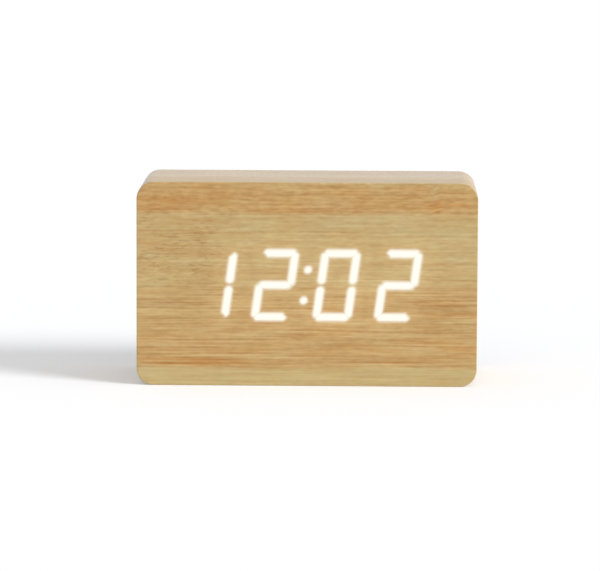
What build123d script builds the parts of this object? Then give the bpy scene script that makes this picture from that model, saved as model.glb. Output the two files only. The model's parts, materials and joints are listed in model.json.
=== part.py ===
from build123d import *

import math
import os

os.makedirs("parts", exist_ok=True)

# Wood-look LED alarm clock, in millimetres: X to the right, Y to the rear, Z up, origin in the middle
# of the base. The front face is at -Y. A fibreboard brick is wrapped in a thin wood-grain sheet, and
# the lit segments of the display behind the front shine through the sheet.

# Case
case_width = 100.0
case_height = 60.0
case_depth = 40.0
corner_radius = 5.0
sheet_thickness = 0.4
sheet_edge_land = 0.1
wrap_seam = 0.2
core_wall = 3.5
core_front_wall = 3.0
cavity_corner_radius = 2.0

# Seat of the rear cover
rear_recess = 1.0
rebate_width = 1.5
cover_gap = 0.25
cover_ledge = 0.55
cover_edge_chamfer = 0.4

# Segment display
shown_time = "1202"
display_shift = -0.3
digit_height = 21.5
digit_width = 11.9
digit_pitch = 18.05
stroke = 2.7
segment_chamfer = 1.7
segment_rounding = 0.55
segment_gap = 0.2
slant = 8.0
colon_diameter = 2.45
colon_spacing = 9.1
housing_side_margin = 3.5
housing_top_margin = 2.2
housing_depth = 8.0
window_gap = 0.3
led_length = 1.6
led_width = 0.8
led_height = 0.7
led_room = 1.2

# Display board and what holds it
board_thickness = 1.6
display_board_side = 1.0
display_board_overhang = 6.0
spacer_inset = 3.0
spacer_diameter = 4.4
spacer_play = 0.2
front_skin = 1.0

# Screws
small_screw_diameter = 2.0
small_screw_head = 3.8
small_screw_head_height = 1.4
cover_screw_diameter = 2.6
cover_screw_head = 4.6
cover_screw_head_height = 1.3
cover_screw_length = 9.0
screw_play = 0.15
screw_relief = 0.5
head_play = 0.25
head_sink = 0.2
recess_share_of_head = 0.62
recess_slot = 0.7
recess_depth = 0.8

# Battery bay and cells
cell_count = 3
cell_diameter = 10.5
cell_length = 44.5
cell_edge_radius = 0.5
nub_diameter = 3.8
nub_height = 0.8
cell_spacing = 0.5
cell_play = 0.2
bay_side_play = 0.5
bay_wall = 1.2
contact_thickness = 0.3
contact_width = 8.0
contact_rise = 3.5
tail_width = 2.4
tail_length = 1.0
tail_play = 0.1
spring_room = 4.0
spring_radius = 2.4
spring_wire = 0.6
spring_turns = 3
spring_play = 0.05
lead_diameter = 1.3
lead_drop = 2.6
lead_bend = 2.4
lead_inset = 3.5

# Battery door
door_thickness = 1.8
door_gap = 0.15
door_fit = 0.3
door_margin = 1.6
door_lip = 2.4
hinge_pin_radius = 0.5
hinge_pin_length = 1.2
hinge_clearance = 0.06
hinge_end_play = 0.2
finger_notch_reach = 1.7
finger_notch_length = 12.0
finger_notch_depth = 1.2
grip_count = 3
grip_pitch = 1.8
grip_inset = 3.0
grip_width = 0.8
grip_length = 10.0
grip_depth = 0.4
snap_length = 8.0

# Screw blocks in the corners
block_width = 7.0
block_height = 5.0
block_depth = 10.0

# Control board
main_board_gap = 0.8
post_diameter = 5.0
post_inset = 2.8
post_bite = 4.5

# Buttons and their switches
button_diameter = 6.0
button_gap = 0.25
button_proud = 0.7
button_edge_radius = 0.4
button_pitch = 9.5
button_column = -5.0
button_travel = 0.4
flange_diameter = 7.6
flange_thickness = 1.0
flange_gap = 0.1
switch_size = 6.0
switch_height = 3.5
plunger_diameter = 3.4
plunger_height = 1.5
plunger_seat = 1.0
plunger_play = 0.1
plunger_relief = 0.3

# Power socket
socket_place = (6.0, 8.0)
socket_width = 7.9
socket_height = 3.0
socket_corner_cut = 0.9
socket_wall = 0.35
socket_gap = 0.3
socket_inset = 0.4
socket_base = 2.5
socket_tongue_width = 4.4
socket_tongue_thickness = 0.7
socket_tongue_inset = 0.8

# Other parts on the control board
buzzer_place = (6.0, -5.0)
buzzer_diameter = 9.0
buzzer_height = 4.5
buzzer_hole = 2.0
buzzer_hole_depth = 1.0
sound_slot_count = 3
sound_slot_pitch = 2.2
sound_slot_length = 6.0
sound_slot_width = 1.1
microphone_place = (1.5, -13.5)
microphone_diameter = 6.0
microphone_height = 2.6
microphone_hole = 1.2
sensor_place = (1.5, 13.5)
sensor_diameter = 2.2
sensor_length = 2.4
sensor_lead_diameter = 0.5
sensor_lead_length = 2.0
sensor_lead_pitch = 1.1
chip_length = 12.8
chip_width = 5.0
chip_height = 2.3
chip_standoff = 0.2
chip_lead_count = 10
chip_lead_pitch = 1.27
chip_lead_width = 0.4
chip_lead_reach = 1.2
chip_lead_thickness = 0.3
controller_place = (4.0, 0.0)
driver_place = (-20.0, 0.0)
crystal_place = (-5.0, -4.0)
crystal_diameter = 2.1
crystal_height = 6.0
capacitor_place = (7.0, -10.0)
capacitor_diameter = 5.0
capacitor_height = 7.0
resistor_length = 1.6
resistor_width = 0.8
resistor_height = 0.6
resistor_pitch = 2.0
main_resistor_count = 4
main_resistor_place = (-5.0, 4.0)
display_resistor_count = 8
display_resistor_place = (3.0, 6.0)
connector_place = (2.0, 10.0)
connector_length = 9.0
connector_width = 4.0
connector_height = 4.0
ribbon_width = 6.0
ribbon_thickness = 0.9

# Depths along Y
front_y = -case_depth / 2
rear_y = case_depth / 2
core_front_y = front_y + sheet_thickness
cavity_front_y = core_front_y + core_front_wall
cover_thickness = door_thickness + door_gap + cover_ledge
cover_rear_y = rear_y - rear_recess
cover_inner_y = cover_rear_y - cover_thickness
door_inner_y = cover_rear_y - door_thickness
door_ledge_y = door_inner_y - door_gap
cell_y = door_inner_y - cell_play - cell_diameter / 2
bay_floor_y = cell_y - cell_diameter / 2 - cell_play
bay_front_y = bay_floor_y - bay_wall
display_board_front_y = core_front_y + housing_depth
display_board_rear_y = display_board_front_y + board_thickness
flange_rear_y = cover_inner_y - flange_gap
plunger_tip_y = flange_rear_y - flange_thickness
switch_top_y = plunger_tip_y - plunger_height
main_rear_y = switch_top_y - switch_height
main_front_y = main_rear_y - board_thickness

# Outlines of the case, seen from the front
centre_z = case_height / 2
core_width = case_width - 2 * sheet_thickness
core_height = case_height - 2 * sheet_thickness
core_radius = corner_radius - sheet_thickness
cavity_width = core_width - 2 * core_wall
cavity_height = core_height - 2 * core_wall
rebate_outline = (cavity_width + 2 * rebate_width, cavity_height + 2 * rebate_width)
rebate_radius = cavity_corner_radius + rebate_width
cover_width = rebate_outline[0] - 2 * cover_gap
cover_height = rebate_outline[1] - 2 * cover_gap

# Display outlines
lean = math.tan(math.radians(slant))
digit_count = len(shown_time)
digit_row = (digit_count - 1) * digit_pitch + digit_width + digit_height * lean
housing_width = digit_row + 2 * housing_side_margin
housing_height = digit_height + 2 * housing_top_margin
display_board_width = housing_width + 2 * display_board_side
display_board_height = housing_height + 2 * display_board_overhang
spacer_length = housing_depth - core_front_wall
display_screw_bite = core_front_wall - front_skin
display_screw_length = board_thickness + spacer_length + display_screw_bite
spacer_x = display_board_width / 2 - spacer_inset
spacer_rise = display_board_height / 2 - spacer_inset
spacer_places = [(display_shift + i * spacer_x, k * spacer_rise) for i in (-1, 1) for k in (-1, 1)]

# Battery bay, door and control board, from left to right
cell_pitch = cell_diameter + cell_spacing
bay_length = cell_length + spring_room + 2 * contact_thickness
bay_height = (cell_count - 1) * cell_pitch + cell_diameter + 2 * bay_side_play
bay_outer_height = bay_height + 2 * bay_wall
door_length = bay_length + 2 * door_margin
door_height = bay_height + 2 * door_margin
door_left = -cover_width / 2 + door_lip + door_fit
bay_left = door_left + door_margin
bay_right = bay_left + bay_length
bay_middle = (bay_left + bay_right) / 2
cell_rises = [((cell_count - 1) / 2 - i) * cell_pitch for i in range(cell_count)]
hinge_x = door_left + door_length - door_thickness / 2
hinge_y = cover_rear_y - door_thickness / 2
main_left = bay_right + bay_wall + main_board_gap
main_right = cavity_width / 2 - main_board_gap
main_width = main_right - main_left
main_x = (main_left + main_right) / 2
main_height = bay_outer_height
post_x = main_width / 2 - post_inset
post_rise = main_height / 2 - post_inset
post_places = [(main_x + i * post_x, k * post_rise) for i in (-1, 1) for k in (-1, 1)]

# Corner blocks and the cover's screws
block_x = (cavity_width - block_width) / 2
block_rise = (cavity_height - block_height) / 2
block_places = [(i * block_x, k * block_rise) for i in (-1, 1) for k in (-1, 1)]
cover_screw_seat_y = cover_rear_y - cover_screw_head_height - head_sink
cover_screw_bite = cover_screw_length - (cover_screw_seat_y - cover_inner_y)


def facing_front(depth, place=(0, 0)):
    """Sketch plane at a depth along Y that faces the front, about the middle of the case or another place.

    Sketch x is X, and sketch y is the rise over the middle of the case.
    """
    return Plane(origin=(place[0], depth, centre_z + place[1]), x_dir=(1, 0, 0), z_dir=(0, -1, 0))


def facing_rear(depth, place):
    """Plane at a depth along Y that faces the rear, about a place given from the middle of the case."""
    return Plane(origin=(place[0], depth, centre_z + place[1]), x_dir=(-1, 0, 0), z_dir=(0, 1, 0))


def facing_right(x, rise):
    """Sketch plane across X through the axis of a cell. Sketch x is Y, sketch y is Z."""
    return Plane(origin=(x, cell_y, centre_z + rise), x_dir=(0, 1, 0), z_dir=(1, 0, 0))


def on_main_board(place):
    """Sketch place of a part given from the middle of the control board."""
    return (main_x + place[0], place[1])


def segment_corners(segment):
    """Corners of one upright segment about the middle of its digit, each with its rounding."""
    side = digit_width / 2
    top = digit_height / 2
    half = stroke / 2
    mitre = segment_chamfer / 2
    top_bar = [
        (segment_chamfer - side, top, segment_rounding),
        (side - segment_chamfer, top, segment_rounding),
        (side - mitre, top - mitre, 0),
        (side - stroke, top - stroke, 0),
        (stroke - side, top - stroke, 0),
        (mitre - side, top - mitre, 0),
    ]
    side_bar = [
        (side, top - segment_chamfer, segment_rounding),
        (side, half, segment_rounding),
        (side - half, 0, segment_rounding),
        (side - stroke, half, segment_rounding),
        (side - stroke, top - stroke, 0),
        (side - mitre, top - mitre, 0),
    ]
    middle_bar = [
        (half - side, 0, segment_rounding),
        (stroke - side, half, segment_rounding),
        (side - stroke, half, segment_rounding),
        (side - half, 0, segment_rounding),
        (side - stroke, -half, segment_rounding),
        (stroke - side, -half, segment_rounding),
    ]
    bars = {
        "a": (top_bar, 1, 1),
        "b": (side_bar, 1, 1),
        "c": (side_bar, 1, -1),
        "d": (top_bar, 1, -1),
        "e": (side_bar, -1, -1),
        "f": (side_bar, -1, 1),
        "g": (middle_bar, 1, 1),
    }
    corners, flip_x, flip_rise = bars[segment]
    return [(flip_x * x, flip_rise * rise, rounding) for x, rise, rounding in corners]


def digit_x(position):
    """X of the middle of a digit, counted from the left."""
    return display_shift + (position - (digit_count - 1) / 2) * digit_pitch


def leaning_corners(position, segment):
    """Corners of one segment in its place, leaning with the display."""
    return [(digit_x(position) + x + rise * lean, rise) for x, rise, rounding in segment_corners(segment)]


def segment_outlines(depth, position, segments):
    """Rounded outlines of some segments of one digit, drawn at a depth."""
    with BuildSketch(facing_front(depth)) as outlines:
        for segment in segments:
            roundings = [rounding for x, rise, rounding in segment_corners(segment)]
            with BuildLine():
                FilletPolyline(*leaning_corners(position, segment), radius=roundings, close=True)
                offset(amount=-segment_gap / 2)
            make_face()
    return outlines.sketch


colon_places = [(display_shift + i * colon_spacing / 2 * lean, i * colon_spacing / 2) for i in (-1, 1)]


def colon_outlines(depth):
    """Outlines of the two dots of the colon, drawn at a depth."""
    with BuildSketch(facing_front(depth)) as outlines:
        with Locations(*colon_places):
            Circle(colon_diameter / 2)
    return outlines.sketch


all_segments = "abcdefg"
lit_segments = {
    "0": "abcdef",
    "1": "bc",
    "2": "abdeg",
    "3": "abcdg",
    "4": "bcfg",
    "5": "acdfg",
    "6": "acdefg",
    "7": "abc",
    "8": "abcdefg",
    "9": "abcdfg",
}


def lit_outlines(depth):
    """Outlines of everything that is lit at the shown time, drawn at a depth."""
    digits = [segment_outlines(depth, i, lit_segments[digit]) for i, digit in enumerate(shown_time)]
    return digits + [colon_outlines(depth)]


def screws(places, seat_y, towards, diameter, length, head, head_height):
    """Cross-recess screws at sketch places: heads seated at seat_y, shanks towards -1 or 1 along Y."""
    head_y = seat_y - towards * head_height
    recess = head * recess_share_of_head
    with BuildSketch(facing_front(seat_y)) as heads:
        with Locations(*places):
            Circle(head / 2)
    extrude(heads.sketch, amount=towards * head_height)
    with BuildSketch(facing_front(seat_y)) as shanks:
        with Locations(*places):
            Circle(diameter / 2)
    extrude(shanks.sketch, amount=-towards * length)
    with BuildSketch(facing_front(head_y)) as recesses:
        with Locations(*places):
            Rectangle(recess, recess_slot)
            Rectangle(recess_slot, recess)
    extrude(recesses.sketch, amount=-towards * recess_depth, mode=Mode.SUBTRACT)


# The wood-grain sheet round the sides, butted along a seam under the base
with BuildPart() as case_wrap:
    with BuildSketch(facing_front(rear_y)):
        RectangleRounded(case_width, case_height, corner_radius)
        RectangleRounded(core_width, core_height, core_radius, mode=Mode.SUBTRACT)
        with Locations((0, -centre_z)):
            Rectangle(wrap_seam, 2 * sheet_thickness, mode=Mode.SUBTRACT)
    extrude(amount=rear_y - core_front_y)
case_wrap.part.label = "case_wrap"
export_step(case_wrap.part, "parts/case_wrap.step")

# The wood-grain sheet on the front, with a softened edge and the lit spots cut out of it
with BuildPart() as front_sheet:
    with BuildSketch(facing_front(core_front_y)):
        RectangleRounded(case_width, case_height, corner_radius)
    extrude(amount=sheet_thickness)
    fillet(front_sheet.faces().sort_by(Axis.Y)[0].edges(), radius=sheet_thickness - sheet_edge_land)
    for outlines in lit_outlines(core_front_y):
        extrude(outlines, amount=sheet_thickness, mode=Mode.SUBTRACT)
front_sheet.part.label = "front_sheet"
export_step(front_sheet.part, "parts/front_sheet.step")

# The lit spots of the sheet
with BuildPart() as lit_windows:
    for outlines in lit_outlines(core_front_y):
        extrude(outlines, amount=sheet_thickness)
lit_windows.part.label = "lit_windows"
export_step(lit_windows.part, "parts/lit_windows.step")

# The fibreboard box, open at the rear, with the display window in its front wall
with BuildPart() as case_core:
    with BuildSketch(facing_front(rear_y)):
        RectangleRounded(core_width, core_height, core_radius)
    extrude(amount=rear_y - core_front_y)
    with BuildSketch(facing_front(rear_y)):
        RectangleRounded(*rebate_outline, rebate_radius)
    extrude(amount=rear_y - cover_inner_y, mode=Mode.SUBTRACT)
    with BuildSketch(facing_front(cover_inner_y)):
        RectangleRounded(cavity_width, cavity_height, cavity_corner_radius)
    extrude(amount=cover_inner_y - cavity_front_y, mode=Mode.SUBTRACT)
    with BuildSketch(facing_front(cavity_front_y)):
        with Locations((display_shift, 0)):
            Rectangle(housing_width + 2 * window_gap, housing_height + 2 * window_gap)
    extrude(amount=core_front_wall, mode=Mode.SUBTRACT)
    with BuildSketch(facing_front(cavity_front_y)):
        with Locations(*spacer_places):
            Circle(small_screw_diameter / 2)
    extrude(amount=display_screw_bite, mode=Mode.SUBTRACT)
case_core.part.label = "case_core"
export_step(case_core.part, "parts/case_core.step")

# Glued blocks in the four corners, which take the cover's screws
with BuildPart() as screw_blocks:
    with BuildSketch(facing_front(cover_inner_y)):
        with Locations(*block_places):
            Rectangle(block_width, block_height)
        RectangleRounded(cavity_width, cavity_height, cavity_corner_radius, mode=Mode.INTERSECT)
    extrude(amount=block_depth)
    with BuildSketch(facing_front(cover_inner_y)):
        with Locations(*block_places):
            Circle(cover_screw_diameter / 2)
    extrude(amount=cover_screw_bite + screw_relief, mode=Mode.SUBTRACT)
screw_blocks.part.label = "screw_blocks"
export_step(screw_blocks.part, "parts/screw_blocks.step")

# Reflector block of the display, with one open cell for each segment and dot
with BuildPart() as display_housing:
    with BuildSketch(facing_front(display_board_front_y)):
        with Locations((display_shift, 0)):
            Rectangle(housing_width, housing_height)
    extrude(amount=housing_depth)
    for position in range(digit_count):
        cells = segment_outlines(display_board_front_y, position, all_segments)
        extrude(cells, amount=housing_depth, mode=Mode.SUBTRACT)
    extrude(colon_outlines(display_board_front_y), amount=housing_depth, mode=Mode.SUBTRACT)
display_housing.part.label = "display_housing"
export_step(display_housing.part, "parts/display_housing.step")

# Resin light guides in the cells, one node for each digit
guide_rear_y = display_board_front_y - led_room
guide_depth = housing_depth - led_room
for position, name in enumerate(("hour_tens", "hour_units", "minute_tens", "minute_units")):
    with BuildPart() as guides:
        extrude(segment_outlines(guide_rear_y, position, all_segments), amount=guide_depth)
    guides.part.label = f"{name}_guides"
    export_step(guides.part, f"parts/{name}_guides.step")

with BuildPart() as colon_guides:
    extrude(colon_outlines(guide_rear_y), amount=guide_depth)
colon_guides.part.label = "colon_guides"
export_step(colon_guides.part, "parts/colon_guides.step")

# One light-emitting chip behind each guide
segment_places = []
for position in range(digit_count):
    for segment in all_segments:
        corners = leaning_corners(position, segment)
        across = sum(x for x, rise in corners) / len(corners)
        up = sum(rise for x, rise in corners) / len(corners)
        segment_places.append((across, up))
with BuildPart() as display_leds:
    with BuildSketch(facing_front(display_board_front_y)):
        with Locations(*segment_places, *colon_places):
            Rectangle(led_length, led_width)
    extrude(amount=led_height)
display_leds.part.label = "display_leds"
export_step(display_leds.part, "parts/display_leds.step")

with BuildPart() as display_board:
    with BuildSketch(facing_front(display_board_rear_y)):
        with Locations((display_shift, 0)):
            Rectangle(display_board_width, display_board_height)
        with Locations(*spacer_places):
            Circle(small_screw_diameter / 2 + screw_play, mode=Mode.SUBTRACT)
    extrude(amount=board_thickness)
display_board.part.label = "display_board"
export_step(display_board.part, "parts/display_board.step")

with BuildPart() as display_spacers:
    with BuildSketch(facing_front(display_board_front_y)):
        with Locations(*spacer_places):
            Circle(spacer_diameter / 2)
            Circle(small_screw_diameter / 2 + spacer_play, mode=Mode.SUBTRACT)
    extrude(amount=spacer_length)
display_spacers.part.label = "display_spacers"
export_step(display_spacers.part, "parts/display_spacers.step")

with BuildPart() as display_screws:
    screws(
        spacer_places,
        display_board_rear_y,
        -1,
        small_screw_diameter,
        display_screw_length,
        small_screw_head,
        small_screw_head_height,
    )
display_screws.part.label = "display_screws"
export_step(display_screws.part, "parts/display_screws.step")


def chip(board_y, towards, place):
    """Flat chip with two rows of leads, standing on a board's face and rising towards -1 or 1 along Y."""
    row = (chip_width + chip_lead_reach) / 2
    body_y = board_y + towards * chip_standoff
    with BuildSketch(facing_front(body_y)) as body:
        with Locations(place):
            Rectangle(chip_length, chip_width)
    extrude(body.sketch, amount=-towards * (chip_height - chip_standoff))
    with BuildSketch(facing_front(board_y)) as leads:
        for side in (-1, 1):
            with Locations((place[0], place[1] + side * row)):
                with GridLocations(chip_lead_pitch, 0, chip_lead_count, 1):
                    Rectangle(chip_lead_width, chip_lead_reach)
    extrude(leads.sketch, amount=-towards * (chip_standoff + chip_lead_thickness))


def resistors(board_y, towards, place, count):
    """Row of chip resistors on a board's face."""
    with BuildSketch(facing_front(board_y)) as row:
        with Locations(place):
            with GridLocations(0, resistor_pitch, 1, count):
                Rectangle(resistor_length, resistor_width)
    extrude(row.sketch, amount=-towards * resistor_height)


def connector(board_y, towards, place):
    """Ribbon connector on a board's face."""
    with BuildSketch(facing_front(board_y)) as body:
        with Locations(place):
            Rectangle(connector_length, connector_width)
    extrude(body.sketch, amount=-towards * connector_height)


with BuildPart() as display_driver:
    chip(display_board_rear_y, 1, driver_place)
display_driver.part.label = "display_driver"
export_step(display_driver.part, "parts/display_driver.step")

with BuildPart() as display_resistors:
    resistors(display_board_rear_y, 1, display_resistor_place, display_resistor_count)
display_resistors.part.label = "display_resistors"
export_step(display_resistors.part, "parts/display_resistors.step")

main_connector_place = on_main_board(connector_place)
display_connector_place = (main_connector_place[0], -main_connector_place[1])
with BuildPart() as display_connector:
    connector(display_board_rear_y, 1, display_connector_place)
display_connector.part.label = "display_connector"
export_step(display_connector.part, "parts/display_connector.step")

with BuildPart() as main_connector:
    connector(main_front_y, -1, main_connector_place)
main_connector.part.label = "main_connector"
export_step(main_connector.part, "parts/main_connector.step")

# Flat ribbon that leaves both connectors straight and bends once each way between them
ribbon_x = main_connector_place[0]
ribbon_start = (ribbon_x, main_front_y - connector_height, centre_z + main_connector_place[1])
ribbon_end = (ribbon_x, display_board_rear_y + connector_height, centre_z + display_connector_place[1])
ribbon_bend = (ribbon_start[1] - ribbon_end[1]) / 2
with BuildPart() as ribbon_cable:
    with BuildLine():
        first_bend = TangentArc(
            ribbon_start,
            (ribbon_x, ribbon_start[1] - ribbon_bend, ribbon_start[2] - ribbon_bend),
            tangent=(0, -1, 0),
        )
        run = Line(first_bend @ 1, (ribbon_x, ribbon_end[1] + ribbon_bend, ribbon_end[2] + ribbon_bend))
        TangentArc(run @ 1, ribbon_end, tangent=(0, 0, -1))
    with BuildSketch(Plane(origin=ribbon_start, x_dir=(1, 0, 0), z_dir=(0, -1, 0))):
        Rectangle(ribbon_width, ribbon_thickness)
    sweep()
ribbon_cable.part.label = "ribbon_cable"
export_step(ribbon_cable.part, "parts/ribbon_cable.step")

# Buttons, from the top: the caps, plungers and switches share one column of places
button_rises = {"up": button_pitch, "set": 0.0, "down": -button_pitch}
button_places = {name: on_main_board((button_column, rise)) for name, rise in button_rises.items()}


def socket_outline(depth, growth):
    """Outline of the power socket's mouth, with its two lower corners cut, grown all round."""
    side = socket_width / 2
    top = socket_height / 2
    with BuildSketch(facing_front(depth, on_main_board(socket_place))) as outline:
        with BuildLine():
            Polyline(
                (-side, top),
                (side, top),
                (side, socket_corner_cut - top),
                (side - socket_corner_cut, -top),
                (socket_corner_cut - side, -top),
                (-side, socket_corner_cut - top),
                close=True,
            )
            offset(amount=growth)
        make_face()
    return outline.sketch


# The moulded back: a plate on the rebate, a bay for the cells and posts for the control board
with BuildPart() as rear_cover:
    with BuildSketch(facing_front(cover_rear_y)):
        RectangleRounded(cover_width, cover_height, rebate_radius - cover_gap)
    extrude(amount=cover_thickness)
    chamfer(rear_cover.faces().sort_by(Axis.Y)[-1].edges(), length=cover_edge_chamfer)
    with BuildSketch(facing_front(cover_inner_y)):
        with Locations((bay_middle, 0)):
            Rectangle(bay_length + 2 * bay_wall, bay_outer_height)
    extrude(amount=cover_inner_y - bay_front_y)
    with BuildSketch(facing_front(cover_rear_y)):
        with Locations((bay_middle, 0)):
            Rectangle(bay_length, bay_height)
    extrude(amount=cover_rear_y - bay_floor_y, mode=Mode.SUBTRACT)
    with BuildSketch(facing_front(cover_rear_y)):
        with Locations((bay_middle, 0)):
            Rectangle(door_length + 2 * door_fit, door_height + 2 * door_fit)
    extrude(amount=cover_rear_y - door_ledge_y, mode=Mode.SUBTRACT)
    with BuildSketch(facing_front(cover_rear_y)):
        with Locations((door_left - door_fit, 0)):
            Ellipse(finger_notch_reach, finger_notch_length / 2)
    extrude(amount=finger_notch_depth, mode=Mode.SUBTRACT)
    hinge_bore_half = door_height / 2 + hinge_pin_length + hinge_end_play
    with BuildSketch(Plane.XY.offset(centre_z - hinge_bore_half)):
        with Locations((hinge_x, hinge_y)):
            Circle(hinge_pin_radius + hinge_clearance)
    extrude(amount=2 * hinge_bore_half, mode=Mode.SUBTRACT)
    with BuildSketch(facing_front(cover_inner_y)):
        with Locations(*post_places):
            Circle(post_diameter / 2)
    extrude(amount=cover_inner_y - main_rear_y)
    with BuildSketch(facing_front(main_rear_y)):
        with Locations(*post_places):
            Circle(small_screw_diameter / 2)
    extrude(amount=-post_bite - screw_relief, mode=Mode.SUBTRACT)
    with BuildSketch(facing_front(cover_rear_y)):
        with Locations(*button_places.values()):
            Circle(button_diameter / 2 + button_gap)
        with Locations(on_main_board(buzzer_place)):
            with GridLocations(0, sound_slot_pitch, 1, sound_slot_count):
                SlotOverall(sound_slot_length, sound_slot_width)
        with Locations(on_main_board(microphone_place)):
            Circle(microphone_hole / 2)
    extrude(amount=cover_thickness, mode=Mode.SUBTRACT)
    extrude(socket_outline(cover_rear_y, socket_gap), amount=cover_thickness, mode=Mode.SUBTRACT)
    with BuildSketch(facing_front(bay_floor_y)):
        for side, end, rise in ((1, bay_left, cell_rises[0]), (-1, bay_right, cell_rises[-1])):
            slot_width = contact_thickness + tail_play
            with Locations((end + side * slot_width / 2, rise)):
                Rectangle(slot_width, tail_width + 2 * tail_play)
    extrude(amount=bay_wall, mode=Mode.SUBTRACT)
    with Locations(*[facing_rear(cover_rear_y, place) for place in block_places]):
        CounterBoreHole(
            radius=cover_screw_diameter / 2 + screw_play,
            counter_bore_radius=cover_screw_head / 2 + head_play,
            counter_bore_depth=cover_rear_y - cover_screw_seat_y,
            depth=cover_thickness,
        )
rear_cover.part.label = "rear_cover"
export_step(rear_cover.part, "parts/rear_cover.step")

with BuildPart() as cover_screws:
    screws(
        block_places,
        cover_screw_seat_y,
        -1,
        cover_screw_diameter,
        cover_screw_length,
        cover_screw_head,
        cover_screw_head_height,
    )
cover_screws.part.label = "cover_screws"
export_step(cover_screws.part, "parts/cover_screws.step")

# Battery door: a plate with a round hinge edge, pins at both ends of that edge and grooves for a thumb
with BuildPart() as battery_door:
    with BuildSketch(facing_front(cover_rear_y)):
        with Locations(((door_left + hinge_x) / 2, 0)):
            Rectangle(hinge_x - door_left, door_height)
        with Locations((door_left, 0)):
            Rectangle(door_fit, snap_length)
    extrude(amount=door_thickness)
    with BuildSketch(Plane.XY.offset(centre_z - door_height / 2)):
        with Locations((hinge_x, hinge_y)):
            Circle(door_thickness / 2)
    extrude(amount=door_height)
    hinge_pin_half = door_height / 2 + hinge_pin_length
    with BuildSketch(Plane.XY.offset(centre_z - hinge_pin_half)):
        with Locations((hinge_x, hinge_y)):
            Circle(hinge_pin_radius)
    extrude(amount=2 * hinge_pin_half)
    with BuildSketch(facing_front(cover_rear_y)):
        for groove in range(grip_count):
            with Locations((door_left + grip_inset + groove * grip_pitch, 0)):
                SlotOverall(grip_length, grip_width, rotation=90)
    extrude(amount=grip_depth, mode=Mode.SUBTRACT)
battery_door.part.label = "battery_door"
export_step(battery_door.part, "parts/battery_door.step")

# Cells in series: every other one is turned round
for index, rise in enumerate(cell_rises):
    plus_side = -1 if index % 2 == 0 else 1
    plus_end = bay_left + contact_thickness if plus_side < 0 else bay_right - contact_thickness
    with BuildPart() as cell:
        with BuildSketch(facing_right(plus_end - plus_side * nub_height, rise)):
            Circle(cell_diameter / 2)
        extrude(amount=-plus_side * (cell_length - nub_height))
        fillet(cell.edges().filter_by(GeomType.CIRCLE), radius=cell_edge_radius)
        with BuildSketch(facing_right(plus_end, rise)):
            Circle(nub_diameter / 2)
        extrude(amount=-plus_side * nub_height)
    cell.part.label = f"cell_{index + 1}"
    export_step(cell.part, f"parts/cell_{index + 1}.step")

# Contact plates: the end terminals have a tail through the floor, the others bridge two cells
left_contact_x = bay_left + contact_thickness / 2
right_contact_x = bay_right - contact_thickness / 2
terminals = [(left_contact_x, cell_rises[0]), (right_contact_x, cell_rises[-1])]
with BuildPart() as battery_contacts:
    with BuildSketch(facing_front(cell_y + contact_rise)):
        with Locations(*terminals):
            Rectangle(contact_thickness, contact_width)
        for index in range(cell_count - 1):
            bridge_x = right_contact_x if index % 2 == 0 else left_contact_x
            with Locations((bridge_x, (cell_rises[index] + cell_rises[index + 1]) / 2)):
                Rectangle(contact_thickness, contact_width + cell_pitch)
    extrude(amount=cell_y + contact_rise - bay_floor_y)
    with BuildSketch(facing_front(bay_floor_y)):
        with Locations(*terminals):
            Rectangle(contact_thickness, tail_width)
    extrude(amount=bay_wall + tail_length)
battery_contacts.part.label = "battery_contacts"
export_step(battery_contacts.part, "parts/battery_contacts.step")

# Coil springs at the minus ends, each one unbroken wire
spring_pitch = (spring_room - 2 * spring_play - spring_wire) / spring_turns
quarter_turns = 4 * spring_turns


def spring_point(turn, start, rise):
    """Point of a spring's centre line after a number of turns from its left end."""
    angle = 2 * math.pi * turn
    across = spring_radius * math.cos(angle)
    up = spring_radius * math.sin(angle)
    return Vector(start + spring_pitch * turn, cell_y + across, centre_z + rise + up)


def spring_direction(turn):
    """Direction of a spring's centre line after a number of turns."""
    angle = 2 * math.pi * turn
    speed = 2 * math.pi * spring_radius
    return Vector(spring_pitch, -speed * math.sin(angle), speed * math.cos(angle)).normalized()


def least_spring_gap():
    """Least gap of a spring's wire to itself, measured on points at least half a turn apart."""
    per_turn = 24
    half_turn = per_turn // 2
    points = [spring_point(i / per_turn, 0, 0) for i in range(per_turn * spring_turns + 1)]
    distances = [(a - b).length for i, a in enumerate(points) for b in points[i + half_turn :]]
    return min(distances) - spring_wire


with BuildPart() as battery_springs:
    for index, rise in enumerate(cell_rises):
        right_room = bay_right - contact_thickness - spring_room
        left_room = bay_left + contact_thickness
        start = (right_room if index % 2 == 0 else left_room) + spring_play + spring_wire / 2
        with BuildLine() as coil:
            for quarter in range(quarter_turns):
                here = spring_point(quarter / 4, start, rise)
                there = spring_point((quarter + 1) / 4, start, rise)
                out = spring_direction(quarter / 4)
                back = spring_direction((quarter + 1) / 4)
                chord = there - here
                along = chord.dot(out + back)
                spread = 2 * (1 - out.dot(back))
                reach = (math.sqrt(along ** 2 + spread * chord.dot(chord)) - along) / spread
                joint = (here + there + (out - back) * reach) / 2
                TangentArc(here, joint, tangent=out)
                TangentArc(joint, there, tangent=there - here - (out + back) * reach)
        with BuildSketch(Plane(origin=coil.line @ 0, z_dir=coil.line % 0)):
            Circle(spring_wire / 2)
        sweep(path=coil.line)
battery_springs.part.label = "battery_springs"
export_step(battery_springs.part, "parts/battery_springs.step")
print(f"battery spring: least gap to itself {least_spring_gap():.2f} mm")

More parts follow.
